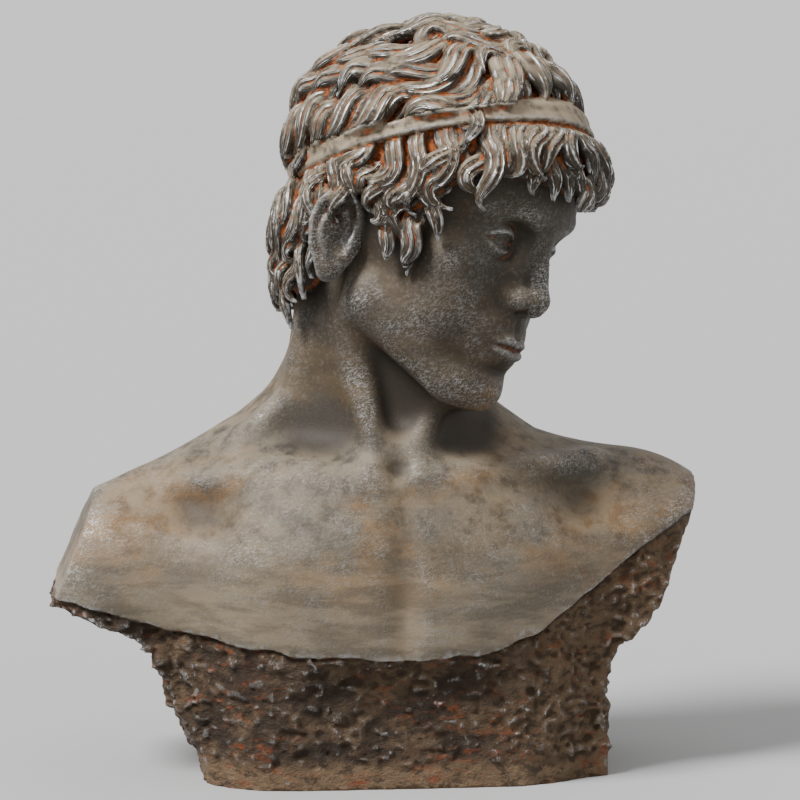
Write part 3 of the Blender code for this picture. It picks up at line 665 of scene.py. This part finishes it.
def crossing_locks():
    """The few strands that fall across the band."""
    for angle, heading in CROSSING_LOCKS:
        top = fall_of(band_height(angle)) * QUARTER - 22
        yield (angle, top / QUARTER), 40, LOCK_HALF_WIDTH * 0.6, 5.5, (heading, 0.55, 0)


def hair(q):
    """The hair's field, how far across and along its lock each spot lies, and where the band is."""
    order = np.argsort(q[:, 2])
    q = q[order]
    form = hair_cap(q)
    strand = np.zeros((len(q), 3), np.float32)
    random = np.random.default_rng(LOCK_SEED)
    for lock in (*upper_locks(random), *lower_locks(random)):
        form = add_lock(q, form, strand, *lock)
    form = hair_band(q, form)
    strand[:, 2] = np.abs(q[:, 2] - band_height(angle_of(q))) < BAND_HALF_WIDTH + 0.5
    for lock in crossing_locks():
        form = add_lock(q, form, strand, *lock)
    back = np.argsort(order)
    return form[back], strand[back]


# Whole figure


def skin(p, q):
    """The figure without its hair. q is p in the head's axes."""
    form = body(p)
    near = np.flatnonzero(np.linalg.norm(q, axis=1) < HEAD_REACH)
    form[near] = join(form[near], head(q[near]) * HEAD_SCALE, 16)
    return form


def figure(p):
    q = into_head(p)
    form = skin(p, q)
    near = np.flatnonzero(np.linalg.norm(q, axis=1) < HEAD_REACH)
    locks, _ = hair(q[near])
    form[near] = join(form[near], locks * HEAD_SCALE, 1.2)
    return form


def sampled_field(step, halvings=4):
    """The field on a grid, worked out in cells that are halved only where the surface may pass."""
    low = vec(-HALF_WIDTH, -HALF_DEPTH, UNDERSIDE - 4 * step)
    high = vec(HALF_WIDTH, HALF_DEPTH, UNDERSIDE + UNITS + 12)
    cell = step * 2**halvings
    counts = np.ceil((high - low) / cell).astype(int)
    wanted = np.argwhere(np.ones(counts, bool))
    for level in range(halvings + 1):
        values = figure(((wanted + 0.5) * cell + low).astype(np.float32))
        if level == 0:
            grid = values.reshape(counts)
        else:
            grid = grid.repeat(2, 0).repeat(2, 1).repeat(2, 2)
            grid[tuple(wanted.T)] = values
        if level < halvings:
            hair_margin = 10 * (level < 2)
            close = wanted[np.abs(values) < cell * 1.25 + hair_margin]
            wanted = (close[:, None] * 2 + CORNERS).reshape(-1, 3)
            cell /= 2
    return low + step / 2, grid


def surface_mesh(name, low, values, step):
    """The field's zero surface, at its real size."""
    volume = openvdb.FloatGrid(background=50.0)
    volume.copyFromArray(np.ascontiguousarray(values, np.float32))
    points, quads = volume.convertToQuads(isovalue=0.0)
    points = (points * step + low - vec(0, 0, UNDERSIDE)) * (HEIGHT / UNITS)
    mesh = bpy.data.meshes.new(name)
    mesh.from_pydata(points.tolist(), [], quads.tolist())
    return mesh


def keep_main_body(mesh):
    """Deletes every loose fleck and sealed bubble beside the largest connected surface."""
    edges = np.empty(len(mesh.edges) * 2, int)
    mesh.edges.foreach_get("vertices", edges)
    first, second = edges.reshape(-1, 2).T
    label = np.arange(len(mesh.vertices))
    changed = True
    while changed:
        lowest = np.minimum(label[first], label[second])
        before = label.copy()
        np.minimum.at(label, first, lowest)
        np.minimum.at(label, second, lowest)
        label = label[label]
        changed = (label != before).any()
    main = np.bincount(label).argmax()
    form = bmesh.new()
    form.from_mesh(mesh)
    form.verts.ensure_lookup_table()
    loose = [form.verts[i] for i in np.flatnonzero(label != main)]
    bmesh.ops.delete(form, geom=loose, context="VERTS")
    form.to_mesh(mesh)
    form.free()


def thin(obj):
    """Collapses edges until the mesh is light enough."""
    thinner = obj.modifiers.new("thin", "DECIMATE")
    thinner.ratio = min(TRIANGLES / (2 * len(obj.data.polygons)), 1.0)
    thinner.use_collapse_triangulate = True
    graph = bpy.context.evaluated_depsgraph_get()
    light = bpy.data.meshes.new_from_object(obj.evaluated_get(graph))
    obj.modifiers.remove(thinner)
    obj.data = light


def cut_flat_below(mesh):
    """Cuts the block off level with the origin and closes it with one flat face."""
    form = bmesh.new()
    form.from_mesh(mesh)
    parts = list(form.verts) + list(form.edges) + list(form.faces)
    level = {"plane_co": (0, 0, 0), "plane_no": (0, 0, 1), "clear_inner": True, "dist": 1e-6}
    cut = bmesh.ops.bisect_plane(form, geom=parts, **level)
    rim = [item for item in cut["geom_cut"] if isinstance(item, bmesh.types.BMEdge)]
    bmesh.ops.contextual_create(form, geom=rim)
    bmesh.ops.recalc_face_normals(form, faces=form.faces)
    bmesh.ops.triangulate(form, faces=form.faces)
    form.to_mesh(mesh)
    form.free()


# What the finish is painted by


def blurred(volume, reach):
    """The volume averaged over a box of reach samples to each side, twice."""
    for axis in (0, 1, 2) * 2:
        width = 2 * reach + 1
        padding = [(0, 0)] * 3
        padding[axis] = (reach + 1, reach)
        total = np.cumsum(np.pad(volume, padding, mode="edge"), axis=axis, dtype=np.float32)
        count = volume.shape[axis]
        ahead = total.take(range(width, width + count), axis)
        behind = total.take(range(count), axis)
        volume = (ahead - behind) / width
    return volume


def read_grid(volume, places):
    """The volume's value between its samples."""
    places = np.clip(places, 0, np.array(volume.shape) - 1.001)
    cell = places.astype(int)
    t = places - cell
    total = np.zeros(len(places))
    for corner in CORNERS:
        at = cell + corner
        total += np.abs(1 - corner - t).prod(1) * volume[at[:, 0], at[:, 1], at[:, 2]]
    return total


def note(mesh, name, values):
    layer = mesh.attributes.new(name, "FLOAT", "POINT")
    layer.data.foreach_set("value", np.ascontiguousarray(values, np.float32))


def note_relief(mesh, p, low, values, step):
    """How far each spot stands proud at four scales: above 0 on a crest, below 0 in a hollow."""
    filled = np.clip(0.5 - values / (2 * step), 0, 1).astype(np.float32)
    places = (p - low) / step
    for name, reach in RELIEF_REACHES.items():
        share = read_grid(blurred(filled, max(round(reach / step), 1)), places)
        note(mesh, name, 0.5 - share)


def note_regions(mesh, p):
    """Which spots are hair, band, block, broken edge or head, and how the strands run there."""
    q = into_head(p)
    bare = skin(p, q)
    locks, strand = hair(q)
    note(mesh, "hair", np.clip(0.5 + (bare - locks * HEAD_SCALE) / 1.5, 0, 1))
    note(mesh, "across", strand[:, 0])
    note(mesh, "along", strand[:, 1])
    note(mesh, "band", strand[:, 2])
    edge = broken_edge(p)
    note(mesh, "block", np.clip(0.5 + (edge - 1 - p[:, 2]) / 2, 0, 1))
    note(mesh, "rim", np.exp(-(((p[:, 2] - edge) / 1.6) ** 2)))
    from_face = np.linalg.norm(q - vec(0, 20, 0), axis=1)
    note(mesh, "head", smooth_curve(from_face, (100, 125), (1, 0)))


def carved_bust():
    """The fine surface, with what the finish needs to know kept on it."""
    step = FINE_STEP
    low, values = sampled_field(step)
    mesh = surface_mesh("bust_carving", low, values, step)
    keep_main_body(mesh)
    bust = bpy.data.objects.new("bust_carving", mesh)
    bpy.context.scene.collection.objects.link(bust)
    thin(bust)
    cut_flat_below(bust.data)
    bust.data.shade_smooth()
    points = np.empty(len(bust.data.vertices) * 3, np.float32)
    bust.data.vertices.foreach_get("co", points)
    p = points.reshape(-1, 3) * (UNITS / HEIGHT) + vec(0, 0, UNDERSIDE)
    note_relief(bust.data, p, low, values, step)
    note_regions(bust.data, p)
    bust.data.materials.append(aged_iron_paint())
    return bust


# Finish


class Finish:
    """One material's nodes. Sizes are in millimetres. Any value is a socket or a plain number."""

    def __init__(self, name):
        self.material = bpy.data.materials.new(name)
        self.material.use_nodes = True
        self.tree = self.material.node_tree
        self.shader = self.tree.nodes["Principled BSDF"]
        self.place = self.node("ShaderNodeTexCoord").outputs["Object"]

    def feed(self, socket, value):
        if isinstance(value, bpy.types.NodeSocket):
            self.tree.links.new(value, socket)
        else:
            socket.default_value = value

    def node(self, kind, inputs=None, **settings):
        made = self.tree.nodes.new(kind)
        for key, value in settings.items():
            setattr(made, key, value)
        for socket, value in (inputs or {}).items():
            self.feed(made.inputs[socket], value)
        return made

    def part(self, vector, axis):
        return self.node("ShaderNodeSeparateXYZ", {0: vector}).outputs[axis]

    def attribute(self, name):
        return self.node("ShaderNodeAttribute", attribute_name=name).outputs["Fac"]

    def sums(self, operation, first, second):
        return self.node("ShaderNodeMath", {0: first, 1: second}, operation=operation).outputs[0]

    def times(self, *values):
        total = values[0]
        for value in values[1:]:
            total = self.sums("MULTIPLY", total, value)
        return total

    def most(self, *values):
        total = values[0]
        for value in values[1:]:
            total = self.sums("MAXIMUM", total, value)
        return total

    def inverse(self, value):
        return self.sums("SUBTRACT", 1.0, value)

    def rise(self, value, low, high, top=1.0):
        """0 below low and top above high, eased in between."""
        made = self.node("ShaderNodeMapRange", {0: value, 1: low, 2: high, 4: top})
        made.interpolation_type = "SMOOTHSTEP"
        return made.outputs[0]

    def between(self, share, first, second):
        return self.node("ShaderNodeMix", {0: share, 2: first, 3: second}).outputs[0]

    def blend(self, share, first, second):
        made = self.node("ShaderNodeMix", data_type="RGBA")
        for socket, value in ((0, share), (6, first), (7, second)):
            self.feed(made.inputs[socket], value)
        return made.outputs[2]

    def noise(self, size, detail=3.0, stretch=(1, 1, 1), lean=(0, 0, 0), seed=0.0, roughness=0.6):
        """Noise from 0 to 1 in lumps of about size, drawn out along its own axes by stretch."""
        turned = self.node("ShaderNodeMapping", {"Vector": self.place, "Rotation": lean})
        scale = [1000 / (size * long) for long in stretch]
        inputs = {"Vector": turned.outputs[0], "Scale": scale, "Location": (seed, 0, 0)}
        laid = self.node("ShaderNodeMapping", inputs)
        return self.grain(laid.outputs[0], detail, roughness)

    def grain(self, vector, detail, roughness):
        inputs = {"Vector": vector, "Scale": 1.0, "Detail": detail, "Roughness": roughness}
        return self.node("ShaderNodeTexNoise", inputs).outputs["Fac"]

    def streaks(self, across_scale, along_scale, seed):
        """Noise drawn out along the locks of hair."""
        across = self.times(self.attribute("across"), across_scale)
        along = self.times(self.attribute("along"), along_scale)
        flow = self.node("ShaderNodeCombineXYZ", {0: across, 1: along, 2: seed}).outputs[0]
        return self.grain(flow, 2.0, 0.6)

    def bump(self, height, depth, normal=None):
        """Adds a relief that is depth millimetres high where height is 1."""
        inputs = {"Height": height, "Distance": depth / 1000, "Strength": 1.0}
        if normal is not None:
            inputs["Normal"] = normal
        return self.node("ShaderNodeBump", inputs).outputs["Normal"]


def brushed_specks(paint):
    """Fine bright specks and short scratches, gathered in patches, 0 to 1."""
    level = paint.noise(1.2, 2.0, (3, 3, 1), (0, 0.12, 0), 3.0)
    slanted = paint.noise(1.2, 2.0, (3, 1, 1), (0, 0.9, 0.3), 11.0)
    round_ones = paint.noise(0.9, 2.0, seed=21.0)
    specks = paint.most(*(paint.rise(marks, 0.53, 0.68) for marks in (level, slanted, round_ones)))
    gathered = paint.rise(paint.noise(15, 4.0, (1.6, 1.6, 1), seed=25.0), 0.34, 0.66)
    return paint.times(specks, paint.between(gathered, 0.3, 1.0))


def ground_colour(paint, bare, upward):
    """Grey-brown with ochre clouds, dust and painted light where it faces up, painted shade where
    hollow.
    """
    clouds = paint.rise(paint.noise(46, 4.0, (1.6, 1, 1), seed=5.0), 0.42, 0.60)
    ground = paint.blend(clouds, GREY, BROWN)
    ochre = paint.rise(paint.noise(54, 5.0, (1.4, 1, 1), seed=14.0), 0.48, 0.64, 0.8)
    head = paint.attribute("head")
    ochre = paint.times(ochre, bare, paint.inverse(paint.times(head, 0.8)))
    ground = paint.blend(ochre, ground, OCHRE)
    # The bare head is darker by half: partly its own darker paint, partly painted shade on the
    # face, which turns away from the key light
    ground = paint.blend(paint.times(head, bare, 0.5), ground, DARK)
    # Painted light: bare skin low on the chest, below about 0.17 m, is lightened towards the dust
    # colour
    low = paint.rise(paint.part(paint.place, "Z"), 0.17, 0.10, 0.7)
    ground = paint.blend(paint.times(bare, low), ground, DUST_AND_PAINTED_LIGHT)
    brushed = paint.rise(paint.noise(9, 4.0, (4, 4, 1), seed=17.0), 0.38, 0.62, 0.45)
    ground = paint.blend(brushed, ground, DARK)
    pale = paint.rise(paint.noise(2.6, 3.0, seed=2.0), 0.5, 0.7, 0.35)
    ground = paint.blend(pale, ground, PALE)
    # Dust settled on what faces up, and partly painted light from above: upward faces lighten, the
    # hair the most
    settled = paint.rise(paint.noise(12, 4.0, seed=19.0), 0.30, 0.60)
    dust = paint.times(paint.rise(upward, 0.0, 0.9), settled)
    dust = paint.times(dust, paint.between(paint.attribute("hair"), 0.45, 1.0))
    ground = paint.blend(dust, ground, DUST_AND_PAINTED_LIGHT)
    # Mostly painted shade, partly dark patina: bare skin darkens in wide hollows, as under the jaw,
    # and in middle-sized ones
    shaded = paint.rise(paint.times(paint.attribute("wide"), -1.0), 0.0, 0.11, 0.9)
    middle_hollow_shade = paint.rise(paint.times(paint.attribute("middle"), -1.0), 0.02, 0.12, 0.85)
    shaded = paint.most(shaded, middle_hollow_shade)
    return paint.blend(paint.times(shaded, bare), ground, DARK)


def block_colour(paint, relief):
    """Dark brown stained red, painted shade in the creases, and browner at the foot and on one
    side.
    """
    foot = paint.rise(paint.part(paint.place, "Z"), FOOT_STRIP * 1.5, FOOT_STRIP * 0.7)
    side = paint.rise(paint.part(paint.place, "X"), 0.02, 0.10, 0.8)
    dust = paint.rise(paint.noise(22, 4.0, (1.5, 1, 1), seed=8.0), 0.42, 0.62)
    colour = paint.blend(paint.most(paint.times(dust, 0.6), foot, side), BLOCK_DARK, BLOCK_BROWN)
    stain = paint.rise(paint.noise(36, 3.0, (2.0, 1, 1), seed=31.0), 0.44, 0.58)
    for size, long, seed, low, high in ((4.0, 2.2, 33.0, 0.44, 0.66), (9, 3, 35.0, 0.42, 0.62)):
        broken = paint.noise(size, 4.0, (long, long, 1), seed=seed)
        stain = paint.times(stain, paint.rise(broken, low, high))
    colour = paint.blend(stain, colour, RED_RUST)
    # Painted shade: darker in the creases of the hewn relief and in the fine pits of the surface
    creases = paint.rise(relief, 0.50, 0.36, 0.8)
    pits = paint.rise(paint.attribute("fine"), 0.01, -0.09, 0.7)
    return paint.blend(paint.most(creases, pits), colour, BLOCK_DARK)


def aged_iron_paint():
    paint = Finish("aged iron paint")
    fine, middle, broad = map(paint.attribute, ("fine", "middle", "broad"))
    upward = paint.part(paint.node("ShaderNodeNewGeometry").outputs["Normal"], "Z")
    hair_share, block_share, band_share = map(paint.attribute, ("hair", "block", "band"))
    lock_share = paint.times(hair_share, paint.inverse(band_share))
    bare = paint.inverse(paint.most(hair_share, block_share))
    specks = brushed_specks(paint)
    hewn = paint.noise(7, 6.0, (1.4, 1.4, 1), seed=91.0, roughness=0.72)
    hairs = paint.streaks(3.6, 0.3, 97.0)
    coarse_hairs = paint.streaks(1.7, 0.18, 99.0)
    strands = paint.sums("ADD", paint.times(hairs, 0.5), paint.times(coarse_hairs, 0.5))

    ground = ground_colour(paint, bare, upward)
    # Painted shade on the locks: their flanks and the grooves between strands are darkened, the
    # more where they face down
    flank = paint.most(paint.rise(fine, 0.06, -0.04, 0.85), paint.rise(strands, 0.52, 0.43, 0.85))
    shadowed = paint.between(paint.rise(upward, -0.1, 0.7), 1.0, 0.3)
    ground = paint.blend(paint.times(lock_share, flank, shadowed), ground, DARK)
    dusty = paint.rise(paint.noise(7, 3.0, seed=23.0), 0.30, 0.62, 0.85)
    ground = paint.blend(paint.times(band_share, dusty), ground, DUST_AND_PAINTED_LIGHT)
    ground = paint.blend(block_share, ground, block_colour(paint, hewn))

    # Rust lies in the hollows
    hollow = paint.rise(paint.times(middle, -1.0), 0.03, 0.14)
    crevice = paint.rise(paint.times(fine, -1.0), 0.03, 0.11)
    scored = paint.rise(paint.times(fine, -1.0), 0.07, 0.15)
    deep = paint.times(hair_share, paint.most(hollow, crevice))
    deep = paint.most(deep, paint.times(scored, 0.5))
    rust_tone = paint.blend(paint.rise(paint.noise(4, 3.0, seed=41.0), 0.4, 0.6), RUST, DEEP_RUST)
    patchy = paint.rise(paint.noise(10, 4.0, seed=43.0), 0.32, 0.56)
    rust_share = paint.times(deep, patchy, paint.inverse(block_share))
    colour = paint.blend(rust_share, ground, rust_tone)

    # Silver is brushed over what stands proud
    brushed = paint.rise(paint.noise(13, 3.0, seed=51.0), 0.36, 0.60)
    thin_lines = paint.rise(paint.streaks(6.5, 0.5, 95.0), 0.55, 0.63)
    crest = paint.most(thin_lines, paint.rise(strands, 0.55, 0.62))
    crest = paint.most(crest, paint.rise(fine, 0.10, 0.16, 0.8))
    hair_silver = paint.times(
        lock_share, paint.rise(fine, -0.01, 0.07), crest, paint.between(brushed, 0.3, 1.0)
    )
    edges = paint.rise(fine, 0.05, 0.12)
    edges = paint.times(edges, paint.inverse(lock_share), paint.between(block_share, 1.0, 0.6))
    worn = paint.times(paint.attribute("rim"), paint.rise(fine, 0.01, 0.07))
    worn = paint.times(worn, paint.rise(paint.noise(7, 4.0, seed=53.0), 0.46, 0.60, 0.85))
    proudest = paint.most(paint.times(middle, 0.7), paint.times(broad, 0.6))
    tendons = paint.times(bare, paint.rise(proudest, 0.03, 0.08), specks, 0.6)
    ridge = paint.most(paint.times(edges, paint.between(specks, 0.15, 0.8)), worn, tendons)
    patch = paint.rise(paint.noise(34, 3.0, seed=61.0), 0.44, 0.62)
    proud = paint.rise(broad, -0.03, 0.05)
    skin_silver = paint.times(bare, specks, paint.between(patch, 0.16, 0.33), proud)
    flecks = paint.times(
        block_share,
        paint.most(paint.rise(fine, 0.04, 0.12), paint.rise(hewn, 0.60, 0.70, 0.6)),
        paint.rise(paint.noise(24, 3.0, (1, 1, 1.4), seed=71.0), 0.42, 0.60),
        paint.rise(paint.noise(1.7, 3.0, (1, 1, 2.2), seed=73.0), 0.48, 0.60, 0.9),
    )
    silver_share = paint.most(hair_silver, ridge, skin_silver, flecks)
    silver_tone = paint.blend(hair_silver, SILVER, BRIGHT_SILVER)
    colour = paint.blend(silver_share, colour, silver_tone)
    paint.feed(paint.shader.inputs["Base Color"], colour)

    gloss = paint.between(silver_share, PAINT_ROUGHNESS, SILVER_ROUGHNESS)
    gloss = paint.between(rust_share, gloss, RUST_ROUGHNESS)
    paint.feed(paint.shader.inputs["Roughness"], gloss)
    metal = paint.between(silver_share, PAINT_METAL, SILVER_METAL)
    paint.feed(paint.shader.inputs["Metallic"], paint.times(metal, paint.inverse(rust_share)))
    paint.shader.inputs["Specular IOR Level"].default_value = SPECULAR

    relief = paint.bump(paint.noise(1.6, 4.0, seed=81.0), GRAIN_BUMP)
    relief = paint.bump(paint.times(strands, lock_share), STRAND_BUMP, relief)
    relief = paint.bump(paint.times(hewn, block_share), HEWN_BUMP, relief)
    paint.feed(paint.shader.inputs["Normal"], relief)
    return paint.material


# Studio


def floor():
    reach = FLOOR_REACH
    corners = [(-reach, -reach, 0), (reach, -reach, 0), (reach, reach, 0), (-reach, reach, 0)]
    mesh = bpy.data.meshes.new("floor")
    mesh.from_pydata(corners, [], [(0, 1, 2, 3)])
    ground = bpy.data.objects.new("floor", mesh)
    bpy.context.scene.collection.objects.link(ground)
    pale = bpy.data.materials.new("pale floor")
    pale.use_nodes = True
    shader = pale.node_tree.nodes["Principled BSDF"]
    shader.inputs["Base Color"].default_value = FLOOR_COLOUR
    shader.inputs["Roughness"].default_value = FLOOR_ROUGHNESS
    mesh.materials.append(pale)


def direction(azimuth, elevation):
    """A unit vector from the bust towards that azimuth, 0 in front, and elevation, in degrees."""
    azimuth, elevation = math.radians(azimuth), math.radians(elevation)
    level = math.cos(elevation)
    return Vector((math.sin(azimuth) * level, -math.cos(azimuth) * level, math.sin(elevation)))


def place_aimed(obj, target, towards, distance):
    bpy.context.scene.collection.objects.link(obj)
    obj.location = target + towards * distance
    obj.rotation_euler = (-towards).to_track_quat("-Z", "Y").to_euler()


def lights():
    for name, azimuth, elevation, softness, strength in SUNS:
        lamp = bpy.data.lights.new(name, "SUN")
        lamp.angle = math.radians(softness)
        lamp.energy = strength
        holder = bpy.data.objects.new(name, lamp)
        place_aimed(holder, Vector(LOOK_AT), direction(azimuth, elevation), LAMP_DISTANCE)
    sky = bpy.data.worlds.new("sky")
    sky.use_nodes = True
    sky.node_tree.nodes["Background"].inputs["Color"].default_value = (1, 1, 1, 1)
    sky.node_tree.nodes["Background"].inputs["Strength"].default_value = SKY_STRENGTH
    bpy.context.scene.world = sky


def camera():
    lens = bpy.data.cameras.new("camera")
    lens.sensor_width = 36.0
    lens.lens = lens.sensor_width * CAMERA_DISTANCE / CAMERA_FIELD
    eye_point = bpy.data.objects.new("camera", lens)
    towards = direction(CAMERA_AZIMUTH, CAMERA_ELEVATION)
    place_aimed(eye_point, Vector(LOOK_AT), towards, CAMERA_DISTANCE)
    bpy.context.scene.camera = eye_point


def main():
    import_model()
    bust = carved_bust()
    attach(bust, "root")
    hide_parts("bust")
    floor()
    lights()
    camera()
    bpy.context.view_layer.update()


main()
